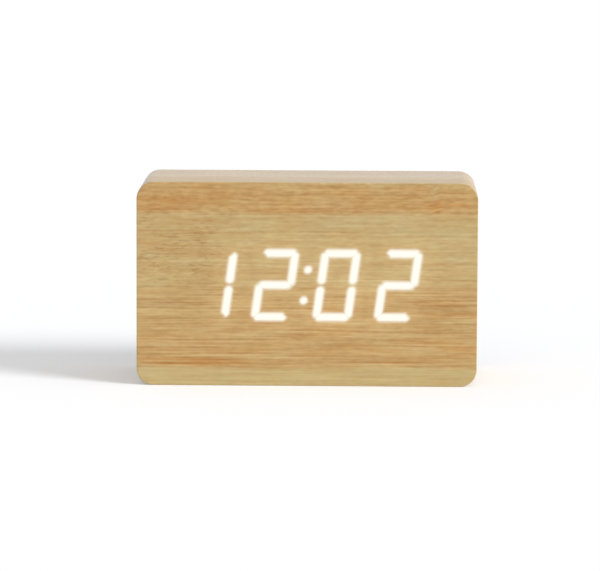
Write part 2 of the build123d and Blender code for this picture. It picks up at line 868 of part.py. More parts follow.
# Wires from the two end terminals to the control board
lead_start_y = bay_front_y - tail_length
for name, terminal in zip(("positive", "negative"), terminals):
    lead_z = centre_z + terminal[1]
    lead_start = (terminal[0], lead_start_y, lead_z)
    with BuildPart() as lead:
        with BuildLine():
            FilletPolyline(
                lead_start,
                (terminal[0], lead_start_y - lead_drop, lead_z),
                (main_left + lead_inset, lead_start_y - lead_drop, lead_z),
                (main_left + lead_inset, main_front_y, lead_z),
                radius=lead_bend,
            )
        with BuildSketch(Plane(origin=lead_start, z_dir=(0, -1, 0))):
            Circle(lead_diameter / 2)
        sweep()
    lead.part.label = f"{name}_lead"
    export_step(lead.part, f"parts/{name}_lead.step")

with BuildPart() as main_board:
    with BuildSketch(facing_front(main_rear_y)):
        with Locations((main_x, 0)):
            Rectangle(main_width, main_height)
        with Locations(*post_places):
            Circle(small_screw_diameter / 2 + screw_play, mode=Mode.SUBTRACT)
    extrude(amount=board_thickness)
main_board.part.label = "main_board"
export_step(main_board.part, "parts/main_board.step")

with BuildPart() as main_board_screws:
    screws(
        post_places,
        main_front_y,
        1,
        small_screw_diameter,
        board_thickness + post_bite,
        small_screw_head,
        small_screw_head_height,
    )
main_board_screws.part.label = "main_board_screws"
export_step(main_board_screws.part, "parts/main_board_screws.step")

with BuildPart() as controller_chip:
    chip(main_front_y, -1, on_main_board(controller_place))
controller_chip.part.label = "controller_chip"
export_step(controller_chip.part, "parts/controller_chip.step")

with BuildPart() as main_resistors:
    resistors(main_front_y, -1, on_main_board(main_resistor_place), main_resistor_count)
main_resistors.part.label = "main_resistors"
export_step(main_resistors.part, "parts/main_resistors.step")

with BuildPart() as clock_crystal:
    with BuildSketch(facing_front(main_front_y)):
        with Locations(on_main_board(crystal_place)):
            Circle(crystal_diameter / 2)
    extrude(amount=crystal_height)
clock_crystal.part.label = "clock_crystal"
export_step(clock_crystal.part, "parts/clock_crystal.step")

with BuildPart() as smoothing_capacitor:
    with BuildSketch(facing_front(main_front_y)):
        with Locations(on_main_board(capacitor_place)):
            Circle(capacitor_diameter / 2)
    extrude(amount=capacitor_height)
smoothing_capacitor.part.label = "smoothing_capacitor"
export_step(smoothing_capacitor.part, "parts/smoothing_capacitor.step")

with BuildPart() as buzzer:
    with BuildSketch(facing_front(main_rear_y)):
        with Locations(on_main_board(buzzer_place)):
            Circle(buzzer_diameter / 2)
    extrude(amount=-buzzer_height)
    with BuildSketch(facing_front(main_rear_y + buzzer_height)):
        with Locations(on_main_board(buzzer_place)):
            Circle(buzzer_hole / 2)
    extrude(amount=buzzer_hole_depth, mode=Mode.SUBTRACT)
buzzer.part.label = "buzzer"
export_step(buzzer.part, "parts/buzzer.step")

with BuildPart() as microphone:
    with BuildSketch(facing_front(main_rear_y)):
        with Locations(on_main_board(microphone_place)):
            Circle(microphone_diameter / 2)
    extrude(amount=-microphone_height)
microphone.part.label = "microphone"
export_step(microphone.part, "parts/microphone.step")

# Temperature bead on its two leads
with BuildPart() as temperature_sensor:
    with BuildSketch(facing_front(main_rear_y)):
        with Locations(on_main_board(sensor_place)):
            with GridLocations(sensor_lead_pitch, 0, 2, 1):
                Circle(sensor_lead_diameter / 2)
    extrude(amount=-sensor_lead_length)
    with BuildSketch(facing_front(main_rear_y + sensor_lead_length)):
        with Locations(on_main_board(sensor_place)):
            Circle(sensor_diameter / 2)
    extrude(amount=-sensor_length)
temperature_sensor.part.label = "temperature_sensor"
export_step(temperature_sensor.part, "parts/temperature_sensor.step")

# Power socket: a folded metal shell round a moulded insert with its tongue
socket_length = cover_rear_y - socket_inset - main_rear_y
with BuildPart() as socket_shell:
    extrude(socket_outline(main_rear_y, 0), amount=-socket_length)
    extrude(socket_outline(main_rear_y, -socket_wall), amount=-socket_length, mode=Mode.SUBTRACT)
socket_shell.part.label = "socket_shell"
export_step(socket_shell.part, "parts/socket_shell.step")

with BuildPart() as socket_insert:
    extrude(socket_outline(main_rear_y, -socket_wall), amount=-socket_base)
    with BuildSketch(facing_front(main_rear_y + socket_base)):
        with Locations(on_main_board(socket_place)):
            Rectangle(socket_tongue_width, socket_tongue_thickness)
    extrude(amount=socket_base + socket_tongue_inset - socket_length)
socket_insert.part.label = "socket_insert"
export_step(socket_insert.part, "parts/socket_insert.step")

# Each button is a flanged cap over a plunger that slides in its switch
for name, place in button_places.items():
    with BuildPart() as switch:
        with BuildSketch(facing_front(switch_top_y)):
            with Locations(place):
                Rectangle(switch_size, switch_size)
        extrude(amount=switch_height)
        with BuildSketch(facing_front(switch_top_y)):
            with Locations(place):
                Circle(plunger_diameter / 2 + plunger_play)
        extrude(amount=plunger_seat + button_travel + plunger_relief, mode=Mode.SUBTRACT)
    switch.part.label = f"{name}_switch"
    export_step(switch.part, f"parts/{name}_switch.step")

    with BuildPart() as plunger:
        with BuildSketch(facing_front(plunger_tip_y)):
            with Locations(place):
                Circle(plunger_diameter / 2)
        extrude(amount=plunger_height + plunger_seat)
    plunger.part.label = f"{name}_plunger"
    export_step(plunger.part, f"parts/{name}_plunger.step")

    with BuildPart() as button:
        with BuildSketch(facing_front(cover_rear_y + button_proud)):
            with Locations(place):
                Circle(button_diameter / 2)
        extrude(amount=cover_rear_y + button_proud - flange_rear_y)
        fillet(button.edges().sort_by(Axis.Y)[-1], radius=button_edge_radius)
        with BuildSketch(facing_front(flange_rear_y)):
            with Locations(place):
                Circle(flange_diameter / 2)
        extrude(amount=flange_thickness)
    button.part.label = f"{name}_button"
    export_step(button.part, f"parts/{name}_button.step")
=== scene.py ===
"""Looks of a wood-look alarm clock: its grained case, lit figures, moulded rear and battery bay.

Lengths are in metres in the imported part's own frame, with X to the right, Y to the rear and Z up.
Patterns are written in millimetres, because grain is easier to judge in them.
"""

import json
import logging
import math
from dataclasses import dataclass
from enum import Enum
from typing import Any, Iterable

import bmesh
import bpy
from mathutils import Matrix, Vector


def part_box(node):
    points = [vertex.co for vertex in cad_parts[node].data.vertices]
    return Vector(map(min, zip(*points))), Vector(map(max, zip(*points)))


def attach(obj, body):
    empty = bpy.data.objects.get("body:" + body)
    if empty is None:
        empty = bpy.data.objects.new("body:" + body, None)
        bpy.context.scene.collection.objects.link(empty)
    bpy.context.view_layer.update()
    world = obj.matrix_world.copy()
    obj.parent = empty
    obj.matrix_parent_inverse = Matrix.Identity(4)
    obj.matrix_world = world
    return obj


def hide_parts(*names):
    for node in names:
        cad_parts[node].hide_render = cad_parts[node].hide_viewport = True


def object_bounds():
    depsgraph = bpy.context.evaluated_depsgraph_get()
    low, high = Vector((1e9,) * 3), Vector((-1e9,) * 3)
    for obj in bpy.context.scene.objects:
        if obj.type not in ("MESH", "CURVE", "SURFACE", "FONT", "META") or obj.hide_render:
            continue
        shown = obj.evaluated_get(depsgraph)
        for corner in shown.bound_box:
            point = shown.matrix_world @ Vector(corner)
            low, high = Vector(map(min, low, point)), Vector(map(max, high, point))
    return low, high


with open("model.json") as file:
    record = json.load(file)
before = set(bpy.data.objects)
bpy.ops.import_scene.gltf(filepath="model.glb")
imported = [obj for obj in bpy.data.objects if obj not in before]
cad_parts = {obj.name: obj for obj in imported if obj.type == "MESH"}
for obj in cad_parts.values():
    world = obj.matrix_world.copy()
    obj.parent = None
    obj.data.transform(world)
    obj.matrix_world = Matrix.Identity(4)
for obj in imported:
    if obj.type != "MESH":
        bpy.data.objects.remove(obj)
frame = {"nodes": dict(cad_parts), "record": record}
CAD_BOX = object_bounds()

Colour = tuple[float, float, float, float]
Shade = tuple[int, int, int]
Pair = tuple[float, float]

LOG = logging.getLogger("clock")
MM = 0.001
PER_MM = 1 / MM
WELD = 1e-7
FLAT_ANGLE = math.radians(1)
SHARP_ANGLE = math.radians(35)
QUARTER_TURN = math.pi / 2
DIAGONAL = math.sqrt(0.5)
NOISE_MIDDLE = 0.5
BLACK: Colour = (0.0, 0.0, 0.0, 1.0)
WHITE: Colour = (1.0, 1.0, 1.0, 1.0)


def shown_colour(shade: Shade) -> Colour:
    """Turns a shade into the linear colour that a shader takes, by the sRGB curve.

    Args:
        shade: Red, green and blue from 0 to 255, as a screen shows them.

    Returns:
        The linear colour with an alpha of 1.
    """
    shares = [level / 255 for level in shade]
    linear = [share / 12.92 if share <= 0.04045 else ((share + 0.055) / 1.055) ** 2.4 for share in shares]
    return (*linear, 1.0)


class Value:
    """A number that varies over a surface, so that shader maths reads as plain arithmetic."""

    def __init__(self, shader: "Shader", socket: bpy.types.NodeSocket) -> None:
        """Keeps the shader and the socket that gives the number."""
        self.shader = shader
        self.socket = socket

    def joined(self, operation: str, first: "Value | float", second: "Value | float" = 0.0) -> "Value":
        """Adds one Math node with one or two terms, and gives its result."""
        made = self.shader.node("ShaderNodeMath", {"operation": operation}, {0: first, 1: second})
        return Value(self.shader, made.outputs[0])

    def __add__(self, other: "Value | float") -> "Value":
        """Adds a term."""
        return self.joined("ADD", self, other)

    __radd__ = __add__

    def __sub__(self, other: "Value | float") -> "Value":
        """Takes a term away."""
        return self.joined("SUBTRACT", self, other)

    def __rsub__(self, other: float) -> "Value":
        """Takes this away from a number."""
        return self.joined("SUBTRACT", other, self)

    def __mul__(self, other: "Value | float") -> "Value":
        """Multiplies by a term."""
        return self.joined("MULTIPLY", self, other)

    __rmul__ = __mul__

    def __truediv__(self, other: "Value | float") -> "Value":
        """Divides by a term."""
        return self.joined("DIVIDE", self, other)

    def __abs__(self) -> "Value":
        """Drops the sign."""
        return self.joined("ABSOLUTE", self)

    def least(self, other: "Value | float") -> "Value":
        """Takes the smaller of two terms."""
        return self.joined("MINIMUM", self, other)

    def most(self, other: "Value | float") -> "Value":
        """Takes the larger of two terms."""
        return self.joined("MAXIMUM", self, other)

    def clamped(self) -> "Value":
        """Holds the number between 0 and 1."""
        return self.most(0.0).least(1.0)

    def rise(self, low: float, high: float) -> "Value":
        """Goes smoothly from 0 to 1.

        Args:
            low: Where the rise starts.
            high: Where it ends, which may be below low for a fall.

        Returns:
            The smooth step.
        """
        made = self.shader.node(
            "ShaderNodeMapRange",
            {"interpolation_type": "SMOOTHSTEP"},
            {"Value": self, "From Min": low, "From Max": high},
        )
        return Value(self.shader, made.outputs[0])


class Shader:
    """Node tree of one material or of the world."""

    def __init__(self, tree: bpy.types.NodeTree) -> None:
        """Keeps the tree that nodes are added to."""
        self.tree = tree

    def node(
        self,
        kind: str,
        settings: dict[str, Any] | None = None,
        sockets: dict[int | str, Any] | None = None,
    ) -> bpy.types.Node:
        """Adds one node.

        Args:
            kind: The node's type.
            settings: Its own settings, which are set first. A ramp's stops are (position, level) pairs.
            sockets: The values or links of its inputs, by name or number.

        Returns:
            The node.
        """
        made = self.tree.nodes.new(kind)
        for name, setting in (settings or {}).items():
            if name == "stops":
                self.set_stops(made.color_ramp, setting)
            else:
                setattr(made, name, setting)
        for key, term in (sockets or {}).items():
            self.feed(made.inputs[key], term)
        return made

    def feed(self, socket: bpy.types.NodeSocket, term: Any) -> None:
        """Links a term to an input, or sets the input where the term is plain.

        Args:
            socket: The input.
            term: A Value, an output socket, a number, a linear colour of four numbers or a shade of three.
        """
        if isinstance(term, Value):
            self.tree.links.new(term.socket, socket)
        elif isinstance(term, bpy.types.NodeSocket):
            self.tree.links.new(term, socket)
        elif isinstance(term, tuple) and len(term) == 3:
            socket.default_value = shown_colour(term)
        else:
            socket.default_value = term

    @staticmethod
    def set_stops(ramp: bpy.types.ColorRamp, stops: Iterable[Pair]) -> None:
        """Gives a ramp its grey stops.

        Args:
            ramp: The ramp.
            stops: Pairs of a position and a level, both from 0 to 1.
        """
        ramp.elements.remove(ramp.elements[1])
        for index, (position, level) in enumerate(stops):
            element = ramp.elements.new(position) if index else ramp.elements[0]
            element.position = position
            element.color = (level, level, level, 1.0)

    def place(self) -> tuple[Value, Value, Value]:
        """Gives the place on the object along X, Y and Z in millimetres."""
        coordinates = self.node("ShaderNodeTexCoord").outputs["Object"]
        parts = self.node("ShaderNodeSeparateXYZ", sockets={0: coordinates})
        across, back, up = (Value(self, output) * PER_MM for output in parts.outputs)
        return across, back, up

    def attribute(self, name: str) -> Value:
        """Gives a number that the mesh carries on its points."""
        return Value(self, self.node("ShaderNodeAttribute", {"attribute_name": name}).outputs["Fac"])

    def noise(self, x: Any, y: Any, z: Any, detail: float = 2.0, roughness: float = 0.5) -> Value:
        """Gives smooth noise about 0.5, whose features are about one unit across.

        Args:
            x: First coordinate.
            y: Second coordinate.
            z: Third coordinate, or a fixed number that picks another pattern.
            detail: How many finer layers are added.
            roughness: How strong the finer layers are.

        Returns:
            The noise.
        """
        spot = self.node("ShaderNodeCombineXYZ", sockets={0: x, 1: y, 2: z})
        made = self.node(
            "ShaderNodeTexNoise",
            {"noise_dimensions": "3D"},
            {"Vector": spot.outputs[0], "Scale": 1.0, "Detail": detail, "Roughness": roughness},
        )
        return Value(self, made.outputs[0])

    def even_noise(self, place: Iterable[Value], size: float, **finer: float) -> Value:
        """Gives smooth noise whose features have one size in millimetres in all directions."""
        x, y, z = (part / size for part in place)
        return self.noise(x, y, z, **finer)

    def ramp(self, position: Value, stops: Iterable[Pair]) -> Value:
        """Gives a level that follows (position, level) stops along a position from 0 to 1."""
        made = self.node("ShaderNodeValToRGB", {"stops": stops}, {"Fac": position})
        return Value(self, made.outputs["Color"])

    def mix(self, first: Any, second: Any, share: Any) -> bpy.types.NodeSocket:
        """Mixes two colours, where the share says how much of the second one shows."""
        made = self.node("ShaderNodeMix", {"data_type": "RGBA"}, {0: share, 6: first, 7: second})
        return made.outputs[2]

    def bump(self, height: Value, depth: float) -> bpy.types.NodeSocket:
        """Gives a normal that follows a relief from 0 to 1, which is so many metres deep."""
        return self.node("ShaderNodeBump", sockets={"Height": height, "Distance": depth}).outputs[0]


class Finish:
    """Base of the finishes, which each say what their surface's inputs are."""

    name: str

    def sockets(self, shader: Shader) -> dict[str, Any]:
        """Gives the surface's inputs, by name."""
        raise NotImplementedError

    def material(self) -> bpy.types.Material:
        """Makes the material."""
        made = bpy.data.materials.new(self.name)
        made.use_nodes = True
        shader = Shader(made.node_tree)
        surface = made.node_tree.nodes["Principled BSDF"]
        for name, term in self.sockets(shader).items():
            shader.feed(surface.inputs[name], term)
        return made


class GrainRun(Enum):
    """Which way the printed grain runs on a sheet."""

    ALONG_FRONT = "along X, with its strips stacked along Z"
    ROUND_CASE = "round the case, with its strips stacked along Y"

    def place(self, shader: Shader) -> tuple[Value, Value]:
        """Gives the place along the grain and across it, in millimetres.

        Args:
            shader: The sheet's shader.

        Returns:
            The place along the grain, and the place across it from the edge.
        """
        across, back, up = shader.place()
        if self is GrainRun.ALONG_FRONT:
            return across, up
        return shader.attribute(WoodCase.RUN_NAME) * PER_MM, back - CAD_BOX[0].y * PER_MM


@dataclass(frozen=True)
class Figures:
    """The lit figures as strokes, from which the glow in the film is worked out.

    Lengths are in millimetres. A corner of a figure is a column of -1 or 1 and a row of -1, 0 or 1. Middle
    lines are drawn back from their corners, and the light falls off with the distance from them.
    """

    SEGMENTS = {
        "a": ((-1, 1), (1, 1)),
        "b": ((1, 0), (1, 1)),
        "c": ((1, -1), (1, 0)),
        "d": ((-1, -1), (1, -1)),
        "e": ((-1, -1), (-1, 0)),
        "f": ((-1, 0), (-1, 1)),
        "g": ((-1, 0), (1, 0)),
    }
    LIT = {"0": "abcdef", "1": "bc", "2": "abdeg"}
    shown: str = "1202"
    middle: Pair = (-0.3, 29.85)
    pitch: float = 18.05
    half_width: float = 4.6
    half_height: float = 9.4
    cut_level: float = 1.25
    lean: float = math.tan(math.radians(8))
    drawn_back: float = 0.86
    free_back: float = 1.2
    middle_gap: float = 1.56
    dot_rise: float = 4.55
    dot_shrink: float = 0.1
    dark_from: float = 2.01
    full_within: float = 0.42
    haze_from: float = 8.0

    def end(self, lit: str, segment: str, corner: tuple[int, int]) -> Pair:
        """Gives one end of a stroke's middle line, drawn back from its corner.

        Args:
            lit: The lit segments of the figure.
            segment: The stroke's segment.
            corner: The corner that it runs to.

        Returns:
            The end's place from the middle of the figure, across and up.
        """
        column, row = corner
        first, second = self.SEGMENTS[segment]
        back = self.free_back if corner in self.free_corners(lit, segment) else self.drawn_back
        if first[1] == second[1]:
            return column * (self.half_width - back), row * self.half_height
        if row:
            return column * self.half_width, row * (self.half_height - back)
        gap = self.drawn_back if "g" in lit else self.middle_gap
        return column * self.half_width, (first[1] + second[1]) * gap

    def free_corners(self, lit: str, segment: str) -> list[tuple[int, int]]:
        """Finds the upper or lower corners at which a stroke of a figure's lit segments meets no other."""
        met = [corner for other in lit if other != segment for corner in self.SEGMENTS[other]]
        return [corner for corner in self.SEGMENTS[segment] if corner[1] and corner not in met]

    def past_cut(self, segment: str, corner: tuple[int, int], across: Value, up: Value) -> Value:
        """Gives how far a place lies past the slanted cut of a free end, as if from the middle line.

        Args:
            segment: The stroke's segment.
            corner: The free end's corner.
            across: Place across, from the middle of the figure.
            up: Place up, from the middle of the figure.

        Returns:
            The distance.
        """
        column, row = corner
        first, second = self.SEGMENTS[segment]
        share = DIAGONAL if first[1] == second[1] else -DIAGONAL
        slant = (across * column - self.half_width) - (up * row - self.half_height)
        return slant * share + self.cut_level

    @staticmethod
    def from_line(across: Value, up: Value, start: Pair, stop: Pair) -> Value:
        """Gives the distance from a level or upright line.

        Args:
            across: Place across.
            up: Place up.
            start: One end of the line.
            stop: Its other end.

        Returns:
            The distance.
        """
        off = abs(across - (start[0] + stop[0]) / 2) - abs(start[0] - stop[0]) / 2
        over = abs(up - (start[1] + stop[1]) / 2) - abs(start[1] - stop[1]) / 2
        off = off.most(0.0)
        over = over.most(0.0)
        squares = off * off + over * over
        return squares.joined("SQRT", squares)

    def glow(self, shader: Shader) -> tuple[Value, Value]:
        """Gives how brightly the light comes through.

        Args:
            shader: The film's shader.

        Returns:
            The light that is 1 inside a stroke with a soft fall round it, and the wider haze in the film.
        """
        across, _, up = shader.place()
        rise = up - self.middle[1]
        upright = across - self.middle[0] - rise * self.lean
        dot = (0.0, self.dot_rise)
        nearest = self.from_line(upright, abs(rise), dot, dot) + self.dot_shrink
        for index, figure in enumerate(self.shown):
            lit = self.LIT[figure]
            shift = (index - (len(self.shown) - 1) / 2) * self.pitch
            for segment in lit:
                start, stop = (self.end(lit, segment, corner) for corner in self.SEGMENTS[segment])
                away = self.from_line(upright - shift, rise, start, stop)
                for corner in self.free_corners(lit, segment):
                    away = away.most(self.past_cut(segment, corner, upright - shift, rise))
                nearest = nearest.least(away)
        glow, haze = (nearest.rise(dark, self.full_within) for dark in (self.dark_from, self.haze_from))
        return glow, haze


@dataclass(frozen=True)
class Strip:
    """Edge of a bamboo strip: its place across the grain in millimetres, and how the film looks there."""

    across: float
    warmth: float
    streaks: float
    flecks: float
    dashes: float


@dataclass(frozen=True)
class Streak:
    """One dark bundle of fibres, in millimetres along and across the grain."""

    along: float
    across: float
    half_length: float
    half_width: float
    depth: float


@dataclass(frozen=True)
class GrainLayer:
    """One layer of the printed grain: its features' length and width in millimetres, and its pattern."""

    length: float
    width: float
    pattern: float
    detail: float = 1.0
    roughness: float = 0.5

    def swing(self, along: Value, across: Value) -> Value:
        """Gives the layer's noise about 0 at a place along and across the grain."""
        place = (along / self.length, across / self.width, self.pattern)
        return along.shader.noise(*place, self.detail, self.roughness) - NOISE_MIDDLE


@dataclass(frozen=True)
class BambooFilm(Finish):
    """Printed bamboo-grain film: broad strips, fibre streaks, patches of short flecks and one knuckle.

    The flecks fade out along the grain between two places, and the knuckle has a place along and across
    it. The shares say how strongly each layer tells in the film's warm tone or in its brown one.
    """

    DRIFT = GrainLayer(55.0, 9.0, 2.3)
    CLOUD = GrainLayer(17.0, 3.2, 5.1, 2.0)
    FIBRE = GrainLayer(19.0, 0.92, 7.7, 2.0, 0.55)
    THREAD = GrainLayer(32.0, 0.58, 11.9)
    DASH = GrainLayer(3.0, 0.84, 13.7, 2.0, 0.6)
    PATCH = GrainLayer(9.0, 5.0, 23.1)
    FLECK = GrainLayer(2.0, 0.55, 17.3)
    name: str
    run: GrainRun
    width: float
    strips: tuple[Strip, ...]
    streaks: tuple[Streak, ...] = ()
    fleck_fade: Pair | None = None
    knuckle: Pair | None = None
    glows: bool = False
    pale: Shade = (208, 188, 132)
    warm: Shade = (203, 149, 81)
    brown: Shade = (146, 98, 36)
    drift: float = 1.2
    knuckle_half: float = 1.6
    knuckle_reach: float = 3.0
    knuckle_step: float = 0.8
    patch_span: Pair = (-0.2, 0.05)
    fleck_span: Pair = (-0.02, 0.22)
    faded_flecks: float = 0.15
    bundle_level: float = 0.6
    bundle_fibre: float = 2.4
    bundle_thread: float = 1.6
    fibre_share: float = 1.85
    thread_share: float = 1.75
    dash_share: float = 1.9
    cloud_warmth: float = 0.8
    streak_warmth: float = 0.15
    brown_share: float = 0.24
    streak_brown: float = 0.46
    bundle_brown: float = 0.14
    fleck_brown: float = 0.27
    roughness: float = 0.28
    brown_roughness: float = 0.25
    pore_depth: float = 0.012 * MM

    def by_strip(self, straight: Value, quality: str) -> Value:
        """Gives a quality, which is one of the strips' fields, at a place across the film."""
        stops = [(strip.across / self.width, getattr(strip, quality)) for strip in self.strips]
        return straight.shader.ramp(straight / self.width, stops)

    def bent(self, along: Value, straight: Value) -> Value:
        """Lets the fibres drift across the film, and step aside at the knuckle.

        Args:
            along: Place along the grain.
            straight: Place across the film.

        Returns:
            The place across the bent fibres.
        """
        across = straight + self.DRIFT.swing(along, straight) * self.drift
        if not self.knuckle:
            return across
        place, base = self.knuckle
        passed = along.rise(place - self.knuckle_half, place + self.knuckle_half)
        return across - passed * straight.rise(base, base + self.knuckle_reach) * self.knuckle_step

    def bundles(self, along: Value, across: Value) -> Value | float:
        """Adds up the drawn streaks, each a long soft lens.

        Args:
            along: Place along the grain.
            across: Place across the bent fibres.

        Returns:
            How strongly the streaks show.
        """
        total: Value | float = 0.0
        for streak in self.streaks:
            length = (along - streak.along) / streak.half_length
            width = (across - streak.across) / streak.half_width
            total = total + (1.0 - length * length - width * width).most(0.0) * streak.depth
        return total

    def flecks(self, along: Value, across: Value, straight: Value) -> Value:
        """Scatters the short dark flecks in patches.

        Args:
            along: Place along the grain.
            across: Place across the bent fibres.
            straight: Place across the film.

        Returns:
            How strongly the flecks show.
        """
        patch = self.PATCH.swing(along, across).rise(*self.patch_span)
        fleck = self.FLECK.swing(along, across).rise(*self.fleck_span)
        shown = fleck * patch * self.by_strip(straight, "flecks")
        if not self.fleck_fade:
            return shown
        return shown * (self.faded_flecks + along.rise(*self.fleck_fade) * (1.0 - self.faded_flecks))

    def sockets(self, shader: Shader) -> dict[str, Any]:
        """Gives the film's colour, gloss, pores and the light that spills into it beside the figures."""
        along, straight = self.run.place(shader)
        across = self.bent(along, straight)
        layers = (self.CLOUD, self.FIBRE, self.THREAD, self.DASH)
        cloud, fibre, thread, dash = (layer.swing(along, across) for layer in layers)
        fleck = self.flecks(along, across, straight)
        grain = self.bundle_level + fibre * self.bundle_fibre + thread * self.bundle_thread
        bundle = self.bundles(along, across) * grain
        lines = fibre * self.fibre_share + thread * self.thread_share
        streaky = lines * self.by_strip(straight, "streaks")
        streaky = streaky + dash * self.by_strip(straight, "dashes") * self.dash_share
        warmth = self.by_strip(straight, "warmth") + cloud * self.cloud_warmth + bundle
        warmth = (warmth + streaky * self.streak_warmth).clamped()
        dark = self.brown_share + streaky * self.streak_brown + bundle * self.bundle_brown
        dark = (dark + fleck * self.fleck_brown).clamped()
        body = shader.mix(self.pale, self.warm, warmth)
        sockets = {
            "Base Color": shader.mix(body, self.brown, dark),
            "Roughness": self.roughness + dark * self.brown_roughness,
            "Normal": shader.bump(1.0 - dark, self.pore_depth),
        }
        return sockets | LitFilm.light(shader, LitFilm.spill) if self.glows else sockets


@dataclass(frozen=True)
class LitFilm(Finish):
    """Film lit through from behind by a cold white light, some of which spills into the film beside it.

    The light that spreads further in the film takes on the film's own colour.
    """

    name: str = "lit_film"
    unlit: Shade = (195, 162, 106)
    tint: Colour = (0.49, 0.645, 0.745, 1.0)
    haze_tint: Colour = (0.078, 0.056, 0.028, 1.0)
    strength: float = 1.0
    spill: float = 0.88
    roughness: float = 0.35

    @staticmethod
    def light(shader: Shader, strength: float) -> dict[str, Any]:
        """Gives the inputs for the light that comes through.

        Args:
            shader: The film's shader.
            strength: How strong the light is.

        Returns:
            The inputs, by name.
        """
        glow, haze = Figures().glow(shader)
        spread = shader.mix(BLACK, LitFilm.haze_tint, haze)
        return {"Emission Color": shader.mix(spread, LitFilm.tint, glow), "Emission Strength": strength}

    def sockets(self, shader: Shader) -> dict[str, Any]:
        """Gives the film's colour and the light through it."""
        return {"Base Color": self.unlit, "Roughness": self.roughness} | self.light(shader, self.strength)


@dataclass(frozen=True)
class Fibreboard(Finish):
    """Sawn fibreboard: pressed fibres in tan and brown."""

    name: str = "fibreboard"
    tan: Shade = (166, 134, 94)
    brown: Shade = (112, 82, 52)
    fibre_size: float = 0.9
    fibre_span: Pair = (0.35, 0.68)
    fibre_share: float = 0.65
    speck_size: float = 0.22
    speck_span: Pair = (0.5, 0.75)
    speck_share: float = 0.4
    speck_height: float = 0.5
    roughness: float = 0.8
    speck_roughness: float = 0.12
    depth: float = 0.06 * MM

    def sockets(self, shader: Shader) -> dict[str, Any]:
        """Gives the fibres' colour and roughness."""
        place = shader.place()
        fibre = shader.even_noise(place, self.fibre_size, detail=4.0, roughness=0.7)
        speck = shader.even_noise(place, self.speck_size).rise(*self.speck_span)
        share = (fibre.rise(*self.fibre_span) * self.fibre_share + speck * self.speck_share).clamped()
        return {
            "Base Color": shader.mix(self.tan, self.brown, share),
            "Roughness": self.roughness + speck * self.speck_roughness,
            "Normal": shader.bump(fibre + speck * self.speck_height, self.depth),
        }


@dataclass(frozen=True)
class Moulded(Finish):
    """Plastic, resin or insulation with a fine surface and a faint drift of tone."""

    name: str
    tone: Shade
    drift: Shade
    roughness: float
    texture: float = 0.25
    depth: float = 0.006 * MM
    transmission: float = 0.0
    cloud_size: float = 9.0
    cloud_span: Pair = (0.3, 0.7)
    cloud_share: float = 0.7
    roughness_swing: float = 0.18

    def sockets(self, shader: Shader) -> dict[str, Any]:
        """Gives the plastic's tone, gloss and spark texture."""
        place = shader.place()
        cloud = shader.even_noise(place, self.cloud_size, detail=3.0).rise(*self.cloud_span)
        fine = shader.even_noise(place, self.texture, roughness=0.6)
        share = cloud * self.cloud_share + fine * (1.0 - self.cloud_share)
        return {
            "Base Color": shader.mix(self.tone, self.drift, share),
            "Roughness": self.roughness + (fine - NOISE_MIDDLE) * self.roughness_swing,
            "Normal": shader.bump(fine, self.depth),
            "Transmission Weight": self.transmission,
        }


@dataclass(frozen=True)
class Plated(Finish):
    """Plated steel with fine drawing marks and a few dull spots."""

    name: str
    tone: Shade
    dull: Shade
    roughness: float = 0.28
    mark_length: float = 1.6
    mark_width: float = 0.12
    mark_share: float = 0.5
    mark_roughness: float = 0.14
    spot_size: float = 1.1
    spot_span: Pair = (0.55, 0.8)
    spot_share: float = 0.4
    spot_roughness: float = 0.1
    depth: float = 0.003 * MM

    def sockets(self, shader: Shader) -> dict[str, Any]:
        """Gives the metal's tone and its marks."""
        across, back, up = shader.place()
        length, width = self.mark_length, self.mark_width
        marks = shader.noise(across / length, back / length, up / width, detail=3.0, roughness=0.6)
        spots = shader.even_noise((across, back, up), self.spot_size, detail=3.0).rise(*self.spot_span)
        share = marks * self.mark_share + spots * self.spot_share
        return {
            "Base Color": shader.mix(self.tone, self.dull, share),
            "Metallic": 1.0,
            "Roughness": self.roughness + marks * self.mark_roughness + spots * self.spot_roughness,
            "Normal": shader.bump(marks, self.depth),
        }


@dataclass(frozen=True)
class SolderMask(Finish):
    """Green solder mask over copper tracks that run square to each other."""

    name: str = "solder_mask"
    mask: Shade = (16, 84, 44)
    track: Shade = (44, 128, 74)
    pitch: float = 2.2
    tracks_in_pitch: float = 3.0
    track_span: Pair = (0.3, 0.22)
    track_share: float = 0.75
    grime_size: float = 6.0
    grime_share: float = 0.12
    roughness: float = 0.3
    grime_roughness: float = 0.15
    depth: float = 0.03 * MM

    def sockets(self, shader: Shader) -> dict[str, Any]:
        """Gives the tracks' tone and relief under the mask."""
        across, back, up = shader.place()
        spot = shader.node("ShaderNodeCombineXYZ", sockets={0: across / self.pitch, 1: up / self.pitch})
        cells = shader.node(
            "ShaderNodeTexVoronoi",
            {"feature": "F1", "distance": "CHEBYCHEV"},
            {"Vector": spot.outputs[0], "Scale": 1.0},
        )
        rings = Value(shader, cells.outputs["Distance"]) * self.tracks_in_pitch
        from_middle = abs(rings - rings.joined("FLOOR", rings) - 0.5)
        track = from_middle.rise(*self.track_span)
        grime = shader.even_noise((across, back, up), self.grime_size, detail=3.0)
        share = track * self.track_share + grime * self.grime_share
        return {
            "Base Color": shader.mix(self.mask, self.track, share),
            "Roughness": self.roughness + grime * self.grime_roughness,
            "Normal": shader.bump(track, self.depth),
        }


